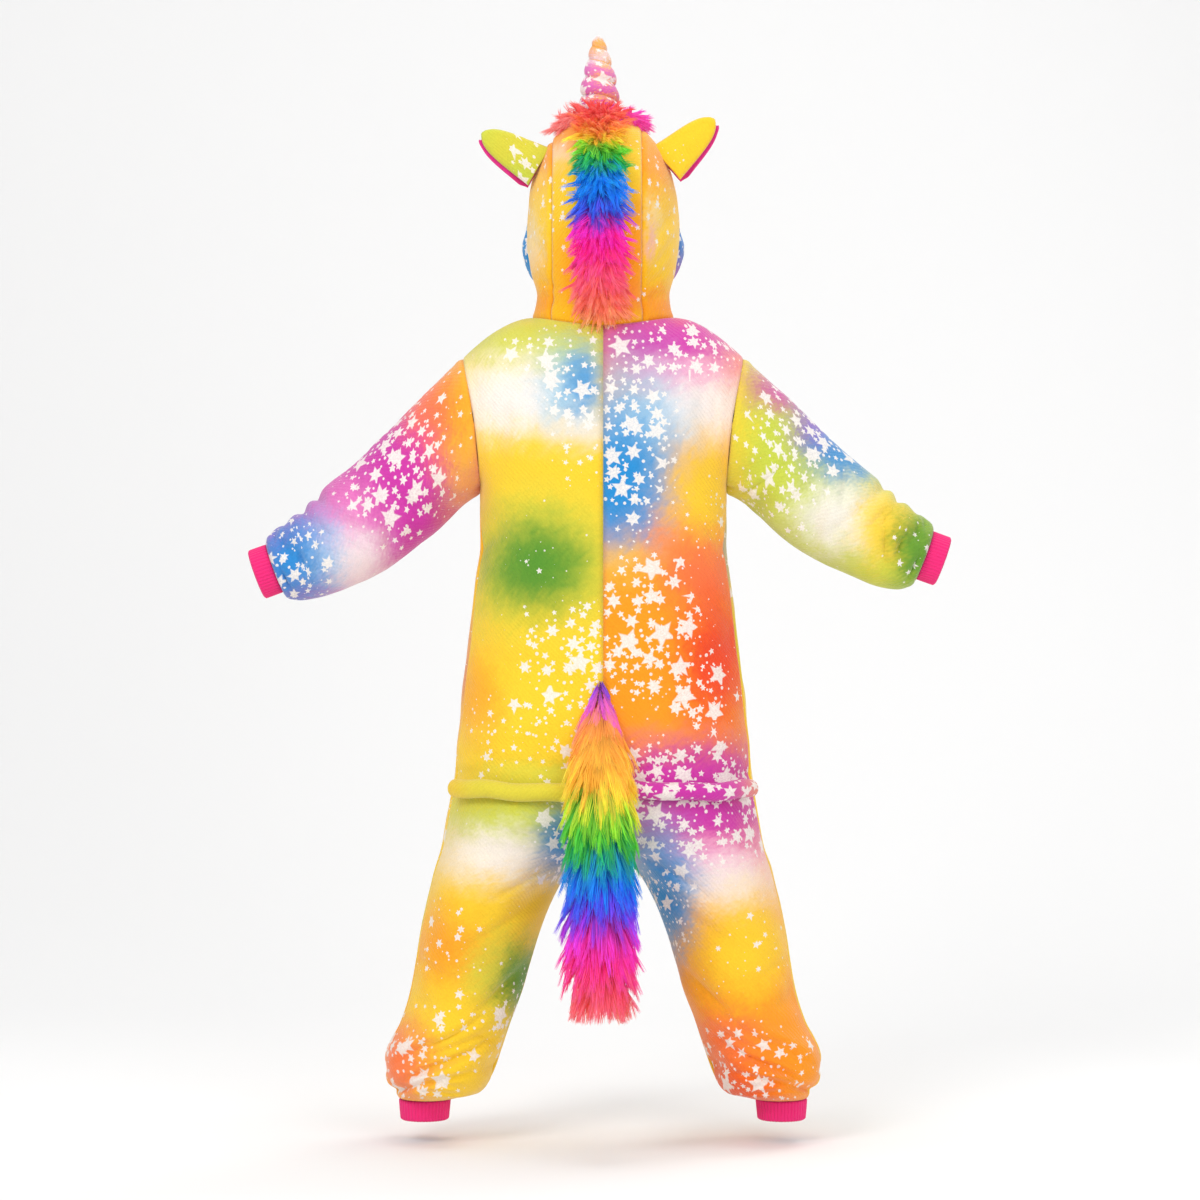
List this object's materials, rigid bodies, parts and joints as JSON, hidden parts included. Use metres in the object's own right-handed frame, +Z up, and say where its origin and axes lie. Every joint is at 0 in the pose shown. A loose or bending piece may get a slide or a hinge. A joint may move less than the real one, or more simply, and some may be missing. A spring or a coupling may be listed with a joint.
{
  "type": "hooded unicorn onesie",
  "caption": "Child's hooded fleece unicorn onesie in worn form, with stuffed horn, ears, pile mane and tail, rib cuffs and a buttoned front.",
  "frame": {"origin": "between the wearer's shoulders, in the middle of the neck opening, 27 mm below the side corners of the neck seam", "axes": "+Z up, +Y the way the wearer faces, +X to the wearer's right"},
  "size_m": [0.9007, 0.3367, 1.39],
  "materials": {
    "printed_fleece": "short plush fleece with a soft rainbow cloud and star print",
    "pink_fleece": "short plush fleece, plain pink",
    "rib_knit": "rib knit, hot pink",
    "long_pile": "long shaggy pile in rainbow bands",
    "button_plastic": "moulded, soft gloss"
  },
  "bodies": {
    "root": {"ankle_cuff_left": "rib_knit", "ankle_cuff_right": "rib_knit", "back_left": "printed_fleece", "back_right": "printed_fleece", "button_1": "button_plastic", "button_2": "button_plastic", "button_3": "button_plastic", "button_4": "button_plastic", "button_5": "button_plastic", "cuff_left": "rib_knit", "cuff_right": "rib_knit", "ear_back_left": "printed_fleece", "ear_back_right": "printed_fleece", "ear_lining_left": "pink_fleece", "ear_lining_right": "pink_fleece", "forelock": "long_pile", "front_left": "printed_fleece", "front_right": "printed_fleece", "hood_centre": "printed_fleece", "hood_face_band": "printed_fleece", "hood_side_left": "printed_fleece", "hood_side_right": "printed_fleece", "horn": "printed_fleece", "mane": "long_pile", "placket": "printed_fleece", "seat_left": "printed_fleece", "seat_right": "printed_fleece", "sleeve_left": "printed_fleece", "sleeve_right": "printed_fleece", "tail": "long_pile", "welt": "printed_fleece"}
  },
  "joints": []
}
